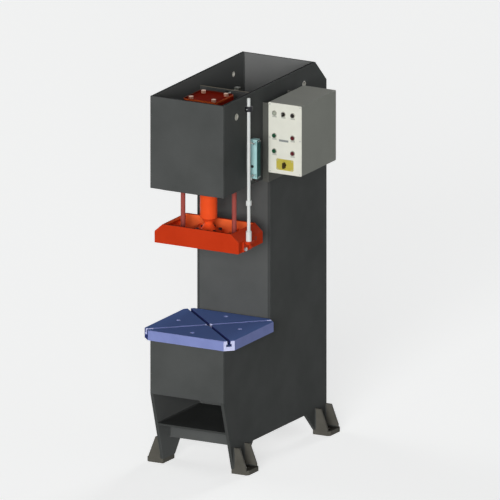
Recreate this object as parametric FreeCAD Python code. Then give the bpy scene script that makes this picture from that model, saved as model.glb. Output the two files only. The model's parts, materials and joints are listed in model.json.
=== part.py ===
import FreeCAD, Part
import math
import os

from FreeCAD import Vector

# C-frame hydraulic press, in millimetres.
# Working frame: X to the right from the centre plane, Y to the rear from the front face, Z up from the floor.
# At export the whole press is moved so that its origin is the bottom centre of its bounding box.

# --- frame ---
frameHalf = 220.0
sideT = 16.0
innerHalf = frameHalf - sideT
plateT = 12.0
frameTop = 2038.0
headBottom = 1534.0
headBackBottom = 1560.0
tableSeat = 702.0
bodyPlateBottom = 409.0
bodyTopT = 20.0
throatY = 515.0
throatR = 40.0
rearY = 1134.0
rearBevelY = 1011.0
rearBevelZ = 1915.0
archZ = 130.0
archFrontY = 329.0
archRearY = 906.0
liftHoleR = 15.0
liftHoleZ = 1945.0
liftHoleYs = (145.0, 885.0)
edgeBevel = 1.5
floorTop = 236.0
floorT = 10.0
floorFrontY = 55.0
crossPlateY = (187.0, 197.0)
coverT = 3.0
coverHalf = 150.0
coverZ = (310.0, 910.0)
coverLap = 20.0
coverCorner = 12.0
louvreX = 68.0
louvreRows = 5
louvreBottom = 600.0
louvrePitch = 50.0
louvreHalf = 48.0
louvreSlotH = 9.0
hoodHalf = 50.0
hoodOut = 9.0
hoodRise = 20.0

# --- feet ---
soleT = 25.0
soleIn = 206.0
soleOut = 306.0
soleCorner = 12.0
frontSoleY = (115.0, 241.0)
rearSoleY = (1008.0, 1134.0)
legSpare = 4.0
gussetT = 12.0
gussetTop = 142.0
gussetTopW = 32.0
gussetToe = (292.8, 12.0)
anchorX = 268.0
anchorR = 9.0

# --- table ---
tableHalf = 271.0
tableFront = -11.0
tableRear = 501.0
tableT = 54.0
tableCorner = 43.0
tableRim = 2.0
tableTop = tableSeat + tableT
slotMouth = 18.0
slotHeadW = 30.0
slotHeadH = 13.0
slotDepth = 32.0
slotReach = 400.0
pilotR = 16.0
tableScrewOff = 185.0
screwPocketR = 13.0
screwPocketDepth = 17.0
screwHeadR = 12.0
screwHeadH = 16.0
tableMidY = (tableFront + tableRear) / 2.0

# --- cylinder and ram, on the press axis ---
axisY = 240.0
rodR = 46.0
neckR = 24.0
neckTop = 1326.0
neckSlope = 20.0
hubR = 46.0
hubTop = 1312.0
ramFlangeR = 75.0
ramFlangeT = 50.0
ramScrews = 6
ramScrewCircleR = 61.0
ramScrewAcross = 18.0
ramScrewHeadH = 11.0
boreR = 70.0
barrelR = 85.0
runFit = 0.05
basePlateTop = headBottom + 30.0
glandTop = 1572.0
mountPlateZ = (1890.0, 1925.0)
headBlockH = 75.0
headBlockHalf = 100.0
headBlockCorner = 10.0
headBlockRim = 2.0
liftBarRoom = 3.0
blockBoltOff = 68.0
blockBoltAcross = 24.0
blockBoltHeadH = 15.0
pistonZ = (1750.0, 1790.0)
columnPlateTop = 1972.0
pipeR = 9.0
pipeX = {"upper": -35.0, "lower": 35.0}
pipeZ = {"upper": 1946.0, "lower": 1583.0}
pipeCutHalf = 18.0
pipeRiserY = 620.0
elbowHalf = 14.0
bossHalf = 16.0
bossEndY = axisY + barrelR + 18.0

# --- platen ---
platenHalf = 253.0
platenY = (108.0, 372.0)
platenZ = 1206.0
platenH = 105.0
platenBase = 20.0
platenWall = 12.0
platenCornerX = 47.0
platenCornerZ = 42.0
platenFoldEase = 4.2
platenRim = 2.0
toolHoleX = 160.0
toolHoleY = 80.0
toolHoleR = 5.1
ribX = 112.0
ribT = 10.0
ribH = 62.0
ribSink = 5.0
guideX = 154.0
guideR = 12.5
guideTop = 1780.0
bushR = 22.5
bushTop = 1610.0

# --- stroke rod and limit switch, on the right ---
stopX = 270.0
stopY = 188.0
stopR = 9.0
stopFootR = 15.0
stopFootZ = (1263.0, 1317.0)
stopTop = 2044.0
stopLeg = (8.0, 38.0, 3.0)
stopShelf = (37.0, 22.0, 10.0)
stopBoltOff = (26.0, 18.0)
stopBoltAcross = 16.0
stopBoltHeadH = 7.0
upperCollarZ = (1974.0, 2000.0)
upperCollarR = 20.0
lowerCollarZ = (1458.0, 1484.0)
lowerCollarR = 15.0
switchX = (248.0, 288.0)
switchY = (245.0, 279.0)
switchZ = (1590.0, 1803.0)
switchCorner = 3.0
switchHolder = 4.0
switchHolderInset = 30.0
earT = 5.0
earHalf = 8.0
earX = (-15.0, 10.0)
slotHalf = (10.0, 14.0)
leverInset = 20.0
leverPivotY = 239.0
leverReach = 31.5
leverTip = 12.5
leverT = 4.0
leverX = -9.0
leverEnds = (6.0, 4.0)
pivotR = 4.0
rollerR = 7.0

# --- control box ---
boxX = (256.0, 455.0)
boxY = (433.0, 807.0)
boxZ = (1580.0, 1964.0)
boxWall = 2.5
boxCorner = 3.0
panelT = 3.0
controlColumns = (292.0, 346.0, 402.0)
controlRows = (1908.0, 1785.0, 1701.0)
holeR = 11.0
buttonR = 10.5
buttonOut = 11.0
buttonBehind = 64.0
lampOut = 10.0
knobOut = 6.0
knobGrip = (3.5, 10.0, 17.0)
knobEdge = 1.5
mainPlateZ = 1632.0
mainPlateHalf = (51.0, 30.0)
mainPlateT = 2.0
mainPlateCorner = 4.0
mainStemR = 9.0
mainStemOut = 7.0
mainGrip = (6.0, 16.0, 22.0)
mainGripEdge = 3.0
holderRearY = 707.0
holderBottom = 1524.0
holderT = 4.0
holderDrop = 7.0
holderBoltZ = (1540.0, 1628.0)
holderBoltAcross = 13.0
holderBoltHeadH = 5.0

# --- power unit, closed in behind the column's front wall ---
tankX = (-180.0, 180.0)
tankY = (545.0, 1080.0)
tankLid = floorTop + 310.0
tankWall = 4.0
tankCorner = 15.0
motorX = -60.0
motorY = 900.0
motorR = 75.0
motorTop = tankLid + 350.0
motorFlange = (65.0, 18.0, 40.0)
finCount = 16
finHalfAngle = 3.0
finOut = 12.0
valveX = (-70.0, 70.0)
valveY = (605.0, 740.0)
valveTop = tankLid + 120.0
spoolHalf = 34.0
spoolY = (650.0, 720.0)
spoolH = 60.0
coilReach = 120.0
coilInset = (12.0, 7.0)

nodes = {}


def box(x, y, z):
    """Block between pairs of limits along X, Y and Z."""
    return Part.makeBox(x[1] - x[0], y[1] - y[0], z[1] - z[0], Vector(x[0], y[0], z[0]))


def rod(x, y, z, r):
    """Upright round bar at x, y between two heights."""
    return Part.makeCylinder(r, z[1] - z[0], Vector(x, y, z[0]))


def barX(x, y, z, r):
    return Part.makeCylinder(r, x[1] - x[0], Vector(x[0], y, z), Vector(1, 0, 0))


def barY(x, y, z, r):
    return Part.makeCylinder(r, y[1] - y[0], Vector(x, y[0], z), Vector(0, 1, 0))


def profile(points, along):
    """Closed outline through points, extruded by the vector along."""
    wire = Part.makePolygon([Vector(*p) for p in points] + [Vector(*points[0])])
    return Part.Face(wire).extrude(Vector(*along))


def turned(points, x, y):
    """Solid of revolution about the upright line x, y, from (radius, height) points."""
    outline = [Vector(x + r, y, z) for r, z in points]
    face = Part.Face(Part.makePolygon(outline + [outline[0]]))
    return face.revolve(Vector(x, y, 0), Vector(0, 0, 1), 360)


def hexPrism(centre, axis, across, length):
    """Hexagon bar from a centre, along an axis, by its width across flats."""
    r = across / math.sqrt(3)
    corners = [Vector(r * math.cos(math.radians(60 * i)), r * math.sin(math.radians(60 * i)), 0)
               for i in range(6)]
    solid = Part.Face(Part.makePolygon(corners + [corners[0]])).extrude(Vector(0, 0, length))
    solid.Placement = FreeCAD.Placement(Vector(*centre), FreeCAD.Rotation(Vector(0, 0, 1), Vector(*axis)))
    return solid


def edgesWhere(solid, test):
    return [e for e in solid.Edges if test(e)]


def alongX(edge):
    return edge.BoundBox.YLength < 0.01 and edge.BoundBox.ZLength < 0.01


def alongY(edge):
    return edge.BoundBox.XLength < 0.01 and edge.BoundBox.ZLength < 0.01


def alongZ(edge):
    return edge.BoundBox.XLength < 0.01 and edge.BoundBox.YLength < 0.01


def fuse(solids):
    """One clean solid from several that touch or overlap."""
    whole = solids[0].multiFuse(solids[1:]) if len(solids) > 1 else solids[0]
    return whole.removeSplitter()


# ---------------- frame ----------------

def sidePlate(x0, outerX):
    """C-shaped side plate: head, column, body and two tapered legs, in one burnt-out sheet."""
    legFront, legRear = frontSoleY[0], frontSoleY[1] + legSpare
    outline = [
        (plateT, frameTop), (rearBevelY, frameTop), (rearY, rearBevelZ), (rearY, soleT),
        (rearSoleY[0], soleT), (archRearY, archZ), (archFrontY, archZ), (legRear, soleT),
        (legFront, soleT), (0, bodyPlateBottom), (plateT, bodyPlateBottom), (plateT, tableSeat),
        (throatY, tableSeat), (throatY, headBottom), (plateT, headBottom),
    ]
    plate = profile([(x0, y, z) for y, z in outline], (sideT, 0, 0))
    corner = edgesWhere(plate, lambda e: alongX(e) and abs(e.BoundBox.YMin - throatY) < 0.01
                        and abs(e.BoundBox.ZMin - headBottom) < 0.01)
    plate = plate.makeFillet(throatR, corner)
    rims = edgesWhere(plate, lambda e: e.BoundBox.XLength < 0.01 and abs(e.BoundBox.XMin - outerX) < 0.01
                      and e.BoundBox.ZMax > soleT + 1)
    plate = plate.makeChamfer(edgeBevel, rims)
    for y in liftHoleYs:
        plate = plate.cut(barX((x0 - 1, x0 + sideT + 1), y, liftHoleZ, liftHoleR))
    return plate


def frontPlate(z0, z1):
    """Plate across the front, let in flush with the side plates' outer faces."""
    plate = box((-frameHalf, frameHalf), (0, plateT), (z0, z1))
    rims = edgesWhere(plate, lambda e: e.BoundBox.YMax < 0.01)
    return plate.makeChamfer(edgeBevel, rims)


def headBasePlate():
    """Thick plate under the head, bored for the gland and the two guide bushes."""
    plate = box((-innerHalf, innerHalf), (plateT, throatY), (headBottom, basePlateTop))
    plate = plate.cut(rod(0, axisY, (headBottom - 1, basePlateTop + 1), boreR))
    for x in (-guideX, guideX):
        plate = plate.cut(rod(x, axisY, (headBottom - 1, basePlateTop + 1), bushR))
    return plate


def mountPlate():
    """Thick plate that the barrel stands through and the cylinder's square head is bolted down on."""
    plate = box((-innerHalf, innerHalf), (plateT, throatY), mountPlateZ)
    return plate.cut(rod(0, axisY, (mountPlateZ[0] - 1, mountPlateZ[1] + 1), barrelR + 1))


def columnPlate():
    """Front wall of the column, which runs on up into the head, with a square cut-out for each pipe."""
    plate = box((-innerHalf, innerHalf), (throatY, throatY + plateT), (floorTop, columnPlateTop))
    for name, x in pipeX.items():
        plate = plate.cut(box((x - pipeCutHalf, x + pipeCutHalf), (throatY - 1, throatY + plateT + 1),
                              (pipeZ[name] - pipeCutHalf, pipeZ[name] + pipeCutHalf)))
    return plate


def rearPlate():
    """Rear wall, folded forward along the bevel at the top, with the opening for the power unit."""
    fold = plateT * math.tan(math.radians(22.5))
    outline = [
        (rearY, archZ), (rearY, rearBevelZ), (rearBevelY, frameTop),
        (rearBevelY, frameTop - plateT * math.sqrt(2)),
        (rearY - plateT, rearBevelZ - fold), (rearY - plateT, archZ),
    ]
    plate = profile([(-innerHalf, y, z) for y, z in outline], (2 * innerHalf, 0, 0))
    return plate.cut(box((-coverHalf + coverLap, coverHalf - coverLap), (rearY - plateT - 1, rearY + 1),
                         (coverZ[0] + coverLap, coverZ[1] - coverLap)))


def accessCover():
    """Pressed cover over the rear opening, with two columns of hooded louvres."""
    face = rearY + coverT
    cover = box((-coverHalf, coverHalf), (rearY, face), coverZ)
    cover = cover.makeChamfer(coverCorner, edgesWhere(cover, alongY))
    hoods = []
    for x in (-louvreX, louvreX):
        for row in range(louvreRows):
            z = louvreBottom + louvrePitch * row
            cover = cover.cut(box((x - louvreHalf, x + louvreHalf), (rearY - 1, face + 1),
                                  (z, z + louvreSlotH)))
            lip = [(face, z + louvreSlotH), (face, z + hoodRise), (face + hoodOut, z + coverT),
                   (face + hoodOut, z), (face + hoodOut - coverT, z + 1)]
            hoods.append(profile([(x - hoodHalf, y, level) for y, level in lip], (2 * hoodHalf, 0, 0)))
    return fuse([cover] + hoods)


def foot(side, soleY):
    """Sole plate with an anchor hole and two gussets welded against the side plate."""
    inner, outer, corner = side * soleIn, side * soleOut, side * soleCorner
    sole = profile([(inner, soleY[0], 0), (outer - corner, soleY[0], 0), (outer, soleY[0] + soleCorner, 0),
                    (outer, soleY[1] - soleCorner, 0), (outer - corner, soleY[1], 0), (inner, soleY[1], 0)],
                   (0, 0, soleT))
    wall, toe = side * frameHalf, side * gussetToe[0]
    pieces = [sole]
    for y in (soleY[0], soleY[1] - gussetT):
        pieces.append(profile([(wall, y, soleT), (toe, y, soleT), (toe, y, soleT + gussetToe[1]),
                               (wall + side * gussetTopW, y, gussetTop), (wall, y, gussetTop)],
                              (0, gussetT, 0)))
    middle = (soleY[0] + soleY[1]) / 2.0
    return fuse(pieces).cut(rod(side * anchorX, middle, (-1, soleT + 1), anchorR))


def addFrame():
    nodes["left_side_plate"] = sidePlate(-frameHalf, -frameHalf)
    nodes["right_side_plate"] = sidePlate(innerHalf, frameHalf)
    nodes["head_front_plate"] = frontPlate(headBottom, frameTop)
    nodes["body_front_plate"] = frontPlate(bodyPlateBottom, tableSeat)
    nodes["head_base_plate"] = headBasePlate()
    nodes["cylinder_mount_plate"] = mountPlate()
    nodes["column_front_plate"] = columnPlate()
    nodes["head_back_plate"] = box((-innerHalf, innerHalf), (rearBevelY - plateT, rearBevelY),
                                   (headBackBottom, frameTop))
    nodes["rear_plate"] = rearPlate()
    nodes["rear_access_cover"] = accessCover()
    nodes["body_top_plate"] = box((-innerHalf, innerHalf), (plateT, throatY),
                                  (tableSeat - bodyTopT, tableSeat))
    nodes["floor_plate"] = box((-innerHalf, innerHalf), (floorFrontY, rearY - plateT),
                               (floorTop - floorT, floorTop))
    nodes["front_cross_plate"] = box((-innerHalf, innerHalf), crossPlateY, (archZ, floorTop - floorT))
    for place, soleY in (("front", frontSoleY), ("rear", rearSoleY)):
        nodes["foot_%s_left" % place] = foot(-1, soleY)
        nodes["foot_%s_right" % place] = foot(1, soleY)


# ---------------- table ----------------

def tableScrewPlaces():
    off = tableScrewOff
    return [(-off, tableMidY), (off, tableMidY), (0, tableMidY - off), (0, tableMidY + off)]


def tSlot(angle):
    """Cutter for one T-slot through the middle of the table, turned about it."""
    run = (-slotReach, slotReach)
    bottom = tableTop - slotDepth
    mouth = box(run, (-slotMouth / 2, slotMouth / 2), (bottom, tableTop + 1))
    head = box(run, (-slotHeadW / 2, slotHeadW / 2), (bottom, bottom + slotHeadH))
    cutter = mouth.fuse(head)
    cutter.rotate(Vector(0, 0, 0), Vector(0, 0, 1), angle)
    cutter.translate(Vector(0, tableMidY, 0))
    return cutter


def addTable():
    h, c = tableHalf, tableCorner
    outline = [(-h + c, tableFront), (h - c, tableFront), (h, tableFront + c), (h, tableRear - c),
               (h - c, tableRear), (-h + c, tableRear), (-h, tableRear - c), (-h, tableFront + c)]
    top = profile([(x, y, tableSeat) for x, y in outline], (0, 0, tableT))
    rims = edgesWhere(top, lambda e: e.BoundBox.ZMin > tableTop - 0.01)
    top = top.makeChamfer(tableRim, rims)
    diagonal = math.degrees(math.atan2(tableRear - tableFront, 2 * h))
    for angle in (diagonal, -diagonal):
        top = top.cut(tSlot(angle))
    top = top.cut(rod(0, tableMidY, (tableSeat - 1, tableTop + 1), pilotR))
    screws = []
    seat = tableTop - screwPocketDepth
    for x, y in tableScrewPlaces():
        top = top.cut(rod(x, y, (seat, tableTop + 1), screwPocketR))
        screws.append(rod(x, y, (seat, seat + screwHeadH), screwHeadR))
    nodes["table"] = top.removeSplitter()
    nodes["table_screws"] = Part.makeCompound(screws)


# ---------------- cylinder and ram ----------------

def addCylinder():
    """Barrel welded under a square head block, which is bolted down on the mount plate."""
    z0, z1 = mountPlateZ[1], mountPlateZ[1] + headBlockH
    barrel = rod(0, axisY, (basePlateTop, z0), barrelR)
    boss = box((pipeX["lower"] - bossHalf, pipeX["lower"] + bossHalf), (axisY + boreR, bossEndY),
               (pipeZ["lower"] - bossHalf, pipeZ["lower"] + bossHalf))
    block = box((-headBlockHalf, headBlockHalf), (axisY - headBlockHalf, axisY + headBlockHalf), (z0, z1))
    block = block.makeChamfer(headBlockCorner, edgesWhere(block, alongZ))
    block = block.makeChamfer(headBlockRim, edgesWhere(block, lambda e: e.BoundBox.ZMin > z1 - 0.01))
    # a rebate along the block's lower front edge leaves room for a lifting bar through the front holes
    reach = liftHoleR + liftBarRoom
    block = block.cut(box((-headBlockHalf, headBlockHalf), (axisY - headBlockHalf, liftHoleYs[0] + reach),
                          (z0, liftHoleZ + reach)))
    bore = rod(0, axisY, (basePlateTop, z0), boreR)
    nodes["cylinder_body"] = fuse([barrel, boss, block]).cut(bore)
    nodes["head_block_bolts"] = Part.makeCompound([
        hexPrism((x, axisY + y, z1), (0, 0, 1), blockBoltAcross, blockBoltHeadH)
        for x in (-blockBoltOff, blockBoltOff) for y in (-blockBoltOff, blockBoltOff)])


def addRam():
    """Piston and waisted rod in one turning, with the flange that is screwed to the platen."""
    foot0 = platenZ + platenBase
    foot1 = foot0 + ramFlangeT
    pistonR = boreR - runFit
    nodes["piston_rod"] = turned([
        (0, foot0), (ramFlangeR, foot0), (ramFlangeR, foot1), (hubR, foot1), (neckR, hubTop),
        (neckR, neckTop), (rodR, neckTop + neckSlope), (rodR, pistonZ[0]), (pistonR, pistonZ[0]),
        (pistonR, pistonZ[1]), (0, pistonZ[1])], 0, axisY)
    screws = []
    for i in range(ramScrews):
        a = 2 * math.pi * (i + 0.5) / ramScrews
        place = (ramScrewCircleR * math.cos(a), axisY + ramScrewCircleR * math.sin(a), foot1)
        screws.append(hexPrism(place, (0, 0, 1), ramScrewAcross, ramScrewHeadH))
    nodes["ram_flange_screws"] = Part.makeCompound(screws)


def addPlaten():
    """Open welded tray: base, bevelled front and rear walls, folded ends and two low ribs."""
    x1, z0, z1 = platenHalf, platenZ, platenZ + platenH
    base = box((-x1, x1), platenY, (z0, z0 + platenBase))
    shoulder = z1 - platenCornerZ
    wall = [(-x1, z0), (x1, z0), (x1, shoulder), (x1 - platenCornerX, z1), (-x1 + platenCornerX, z1),
            (-x1, shoulder)]
    pieces = [base]
    for y in (platenY[0], platenY[1] - platenWall):
        pieces.append(profile([(x, y, z) for x, z in wall], (0, platenWall, 0)))
    slope = math.atan2(platenCornerZ, platenCornerX)
    drop = platenWall / math.cos(slope)
    for s in (-1, 1):
        end = [(s * x1, z0), (s * x1, shoulder), (s * (x1 - platenCornerX), z1),
               (s * (x1 - platenCornerX), z1 - drop), (s * (x1 - platenWall), shoulder - platenFoldEase),
               (s * (x1 - platenWall), z0)]
        pieces.append(profile([(x, platenY[0], z) for x, z in end], (0, platenY[1] - platenY[0], 0)))
        pieces.append(box((s * ribX - ribT / 2, s * ribX + ribT / 2),
                          (platenY[0] + ribSink, platenY[1] - ribSink), (z0 + ribSink, z0 + ribH)))
    tray = fuse(pieces)
    for s in (-1, 1):
        for y in (-toolHoleY, toolHoleY):
            tray = tray.cut(rod(s * toolHoleX, axisY + y, (z0 - 1, z0 + platenBase + 1), toolHoleR))
    rims = edgesWhere(tray, lambda e: alongY(e) and abs(abs(e.BoundBox.XMin) - x1) < 0.01)
    nodes["platen"] = tray.makeChamfer(platenRim, rims)


def bush(x, bore, outer, top):
    """Bronze ring pressed into the head's base plate, standing a little proud of it inside."""
    return turned([(bore, headBottom), (outer, headBottom), (outer, top), (bore, top)], x, axisY)


def addGuides():
    """Two guide rods on the platen, and the bushes that they and the piston rod run in."""
    for name, x in (("left", -guideX), ("right", guideX)):
        nodes["guide_rod_" + name] = rod(x, axisY, (platenZ + platenBase, guideTop), guideR)
    nodes["rod_and_guide_bushes"] = Part.makeCompound(
        [bush(0, rodR + runFit, boreR, glandTop)]
        + [bush(x, guideR + runFit, bushR, bushTop) for x in (-guideX, guideX)])


# ---------------- stroke rod and limit switch ----------------

def ringOn(outer, z):
    """Collar or ferrule clamped round the stroke rod between two heights."""
    return turned([(stopR, z[0]), (outer, z[0]), (outer, z[1]), (stopR, z[1])], stopX, stopY)


def addStopRod():
    """Stroke rod on its bracket: its two collars trip the switch at the ends of the stroke."""
    shelfZ, side = stopFootZ[0], platenHalf
    legT, legHalf, legUp = stopLeg
    shelfOut, shelfHalf, shelfT = stopShelf
    leg = box((side, side + legT), (stopY - legHalf, stopY + legHalf), (platenZ + legUp, shelfZ))
    shelf = box((side, side + shelfOut), (stopY - shelfHalf, stopY + shelfHalf), (shelfZ - shelfT, shelfZ))
    nodes["stop_rod_bracket"] = fuse([leg, shelf])
    stroke = rod(stopX, stopY, (shelfZ, stopTop), stopR)
    ferrule = ringOn(stopFootR, stopFootZ)
    nodes["stop_rod"] = Part.makeCompound([stroke, ferrule, ringOn(lowerCollarR, lowerCollarZ)])
    boltOff, boltUp = stopBoltOff
    bolts = [hexPrism((side + legT, y, platenZ + boltUp), (1, 0, 0), stopBoltAcross, stopBoltHeadH)
             for y in (stopY - boltOff, stopY + boltOff)]
    nodes["stroke_rod_fittings"] = Part.makeCompound([ringOn(upperCollarR, upperCollarZ)] + bolts)


def switchLever(z, tip):
    """Roller lever on a pivot pin: the roller stands in the collar's way."""
    endY = leverPivotY - leverReach
    x0 = stopX + leverX
    root, end = leverEnds
    arm = profile([(x0, leverPivotY + earT, z - root), (x0, leverPivotY + earT, z + root),
                   (x0, endY - end, z + tip + end), (x0, endY - end, z + tip - end)], (leverT, 0, 0))
    roller = barX((x0 + leverT, stopX + earT), endY, z + tip, rollerR)
    pivot = barX((x0 + leverT, stopX - leverX), leverPivotY, z, pivotR)
    return fuse([arm, pivot, roller])


def addSwitch():
    """Housing with two pairs of ears, a lever in each pair, and its bracket on the side plate."""
    x, y, z = switchX, switchY, switchZ
    levels = (z[0] + leverInset, z[1] - leverInset)
    frontY = leverPivotY - earHalf + 1
    housing = box(x, y, z)
    housing = housing.makeChamfer(switchCorner, edgesWhere(housing, alongZ))
    ears = [box((stopX + off, stopX + off + earT), (frontY, y[0] + earT), (level - earHalf, level + earHalf))
            for level in levels for off in earX]
    housing = fuse([housing] + ears)
    for level in levels:
        housing = housing.cut(box((stopX - slotHalf[0], stopX + slotHalf[0]), (frontY, y[0] + 2),
                                  (level - slotHalf[1], level + slotHalf[1])))
    nodes["switch_housing"] = housing
    nodes["lower_switch_lever"] = switchLever(levels[0], -leverTip)
    nodes["upper_switch_lever"] = switchLever(levels[1], leverTip)
    height = (z[0] + switchHolderInset, z[1] - switchHolderInset)
    t = switchHolder
    web = box((x[0] - t, x[0]), (y[0] + t, y[1] - t), height)
    sides = [box((frameHalf, x[0]), (edge, edge + t), height) for edge in (y[0] + t, y[1] - 2 * t)]
    nodes["switch_bracket"] = fuse([web] + sides)


# ---------------- control box ----------------

def addControlBox():
    """Open sheet box behind its panel, on a folded bracket that is screwed to the side plate."""
    x, y, z = boxX, boxY, boxZ
    shell = box(x, y, z)
    shell = shell.makeChamfer(boxCorner, edgesWhere(shell, alongY))
    nodes["control_box"] = shell.cut(box((x[0] + boxWall, x[1] - boxWall), (y[0] - 1, y[1] - boxWall),
                                         (z[0] + boxWall, z[1] - boxWall)))

    t = holderT
    height = (holderBottom, z[1] - holderDrop)
    web = box((x[0] - t, x[0]), (y[0], holderRearY), height)
    flanges = [box((frameHalf, x[0]), (edge, edge + t), height) for edge in (y[0], holderRearY - t)]
    middle = (frameHalf + x[0] - t) / 2
    heads = [hexPrism((middle, y[0], level), (0, -1, 0), holderBoltAcross, holderBoltHeadH)
             for level in holderBoltZ]
    nodes["control_bracket"] = fuse([web] + flanges + heads)

    face = y[0] - panelT
    panel = box(x, (face, y[0]), z)
    panel = panel.makeChamfer(boxCorner, edgesWhere(panel, alongY))
    for name, (cx, cz) in controlPlaces().items():
        if name.endswith("button"):
            panel = panel.cut(barY(cx, (face - 1, y[0] + 1), cz, holeR))
    nodes["control_panel"] = panel
    addControls(face)


def boxCentreX():
    return (boxX[0] + boxX[1]) / 2.0


def controlPlaces():
    left, middle, right = controlColumns
    top, upper, lower = controlRows
    return {
        "power_lamp": (left, top), "mode_selector": (middle, top), "jog_button": (right, top),
        "upper_green_button": (left, upper), "upper_red_button": (right, upper),
        "lower_green_button": (left, lower), "lower_red_button": (right, lower),
    }


def addControls(face):
    """Lamp, selector and main switch on the panel's face, and five push buttons through it."""
    for name, (x, z) in controlPlaces().items():
        if name == "power_lamp":
            nodes[name] = barY(x, (face - lampOut, face), z, buttonR)
        elif name == "mode_selector":
            knob = barY(x, (face - knobOut, face), z, buttonR)
            halfW, halfH, out = knobGrip
            grip = box((x - halfW, x + halfW), (face - out, face - knobOut + 1), (z - halfH, z + halfH))
            nodes[name] = fuse([knob, grip.makeChamfer(knobEdge, edgesWhere(grip, alongY))])
        else:
            nodes[name] = barY(x, (face - buttonOut, face + buttonBehind), z, buttonR)
    cx = boxCentreX()
    halfW, halfH = mainPlateHalf
    front = face - mainPlateT
    plate = box((cx - halfW, cx + halfW), (front, face), (mainPlateZ - halfH, mainPlateZ + halfH))
    nodes["main_switch_plate"] = plate.makeChamfer(mainPlateCorner, edgesWhere(plate, alongY))
    stem = barY(cx, (face - mainStemOut, front), mainPlateZ, mainStemR)
    halfW, halfH, out = mainGrip
    grip = box((cx - halfW, cx + halfW), (face - out, face - mainStemOut + 1),
               (mainPlateZ - halfH, mainPlateZ + halfH))
    nodes["main_switch_handle"] = fuse([stem, grip.makeChamfer(mainGripEdge, edgesWhere(grip, alongY))])


# ---------------- power unit inside the column ----------------

def pipe(name, endY):
    """Riser from the valve block, elbow block, and level run forward to a port on the cylinder."""
    x, z, half = pipeX[name], pipeZ[name], elbowHalf
    elbow = box((x - half, x + half), (pipeRiserY - half, pipeRiserY + half), (z - half, z + half))
    riser = rod(x, pipeRiserY, (valveTop, z - half), pipeR)
    return fuse([elbow, riser, barY(x, (endY, pipeRiserY - half), z, pipeR)])


def addPowerUnit():
    """Closed tank on the floor plate, the motor of its sunk pump on the lid, valve block and pipes."""
    tank = box(tankX, tankY, (floorTop, tankLid))
    tank = tank.makeChamfer(tankCorner, edgesWhere(tank, alongZ))
    t = tankWall
    inside = box((tankX[0] + t, tankX[1] - t), (tankY[0] + t, tankY[1] - t), (floorTop + t, tankLid - t))
    nodes["oil_tank"] = tank.cut(inside.makeChamfer(tankCorner - 1, edgesWhere(inside, alongZ)))

    half, corner, height = motorFlange
    base = box((motorX - half, motorX + half), (motorY - half, motorY + half), (tankLid, tankLid + height))
    base = base.makeChamfer(corner, edgesWhere(base, alongZ))
    ring = []
    for i in range(4 * finCount):
        middle = 360.0 / finCount * (i // 4)
        angle = math.radians(middle + finHalfAngle * (-2, -1, 1, 2)[i % 4])
        r = motorR + (finOut if i % 4 in (1, 2) else 0)
        ring.append((motorX + r * math.cos(angle), motorY + r * math.sin(angle), tankLid + height))
    body = profile(ring, (0, 0, motorTop - tankLid - height))
    nodes["pump_motor"] = fuse([base, body])

    block = box(valveX, valveY, (tankLid, valveTop))
    spool = box((-spoolHalf, spoolHalf), spoolY, (valveTop, valveTop + spoolH))
    inY, inZ = coilInset
    coils = [box(x, (spoolY[0] + inY, spoolY[1] - inY), (valveTop + inZ, valveTop + spoolH - inZ))
             for x in ((spoolHalf, coilReach), (-coilReach, -spoolHalf))]
    nodes["valve_block"] = fuse([block, spool] + coils)
    nodes["press_pipe"] = pipe("upper", axisY + headBlockHalf)
    nodes["return_pipe"] = pipe("lower", bossEndY)


def exportAll():
    """Moves the press to its own origin and writes one STEP file for each piece."""
    os.makedirs("parts", exist_ok=True)
    limits = Part.makeCompound(list(nodes.values())).optimalBoundingBox(False, False)
    shift = Vector(-limits.Center.x, -limits.Center.y, -limits.ZMin)
    for name, shape in nodes.items():
        solids = [s for s in shape.Solids]
        placed = Part.makeCompound(solids) if len(solids) > 1 else solids[0]
        placed = placed.copy()
        placed.translate(shift)
        if not placed.isValid():
            print("not valid:", name)
        placed.exportStep("parts/%s.step" % name)
    print("pieces", len(nodes), "size", round(limits.XLength, 2), round(limits.YLength, 2),
          round(limits.ZLength, 2))
    print("shift", round(shift.x, 3), round(shift.y, 3), round(shift.z, 3))


addFrame()
addTable()
addCylinder()
addRam()
addPlaten()
addGuides()
addStopRod()
addSwitch()
addControlBox()
addPowerUnit()
exportAll()
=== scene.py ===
import bpy
import bmesh
import json
import math
import random
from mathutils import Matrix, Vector


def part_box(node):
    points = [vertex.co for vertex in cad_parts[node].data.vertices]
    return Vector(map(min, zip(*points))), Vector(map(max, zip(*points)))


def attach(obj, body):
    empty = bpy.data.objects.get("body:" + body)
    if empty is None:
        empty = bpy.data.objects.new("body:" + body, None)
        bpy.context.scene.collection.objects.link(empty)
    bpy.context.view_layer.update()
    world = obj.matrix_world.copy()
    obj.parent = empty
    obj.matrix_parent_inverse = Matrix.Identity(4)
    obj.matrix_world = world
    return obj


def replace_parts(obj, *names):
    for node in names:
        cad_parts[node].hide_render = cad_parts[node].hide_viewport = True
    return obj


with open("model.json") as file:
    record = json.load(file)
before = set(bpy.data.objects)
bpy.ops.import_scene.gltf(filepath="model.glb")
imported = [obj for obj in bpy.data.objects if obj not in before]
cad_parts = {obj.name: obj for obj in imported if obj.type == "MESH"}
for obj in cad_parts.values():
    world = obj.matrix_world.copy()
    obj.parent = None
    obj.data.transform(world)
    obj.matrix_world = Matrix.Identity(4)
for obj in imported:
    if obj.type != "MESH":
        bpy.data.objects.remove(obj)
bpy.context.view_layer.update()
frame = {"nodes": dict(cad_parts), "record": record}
random.seed(7)

# the press's own millimetres: X from its centre plane, Y back from its front face, Z up from the floor
centreX = (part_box("left_side_plate")[0][0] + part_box("right_side_plate")[1][0]) / 2
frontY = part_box("head_front_plate")[0][1]


def onPress(x, y, z):
    return Vector((centreX + x / 1000, frontY + y / 1000, z / 1000))


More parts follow.
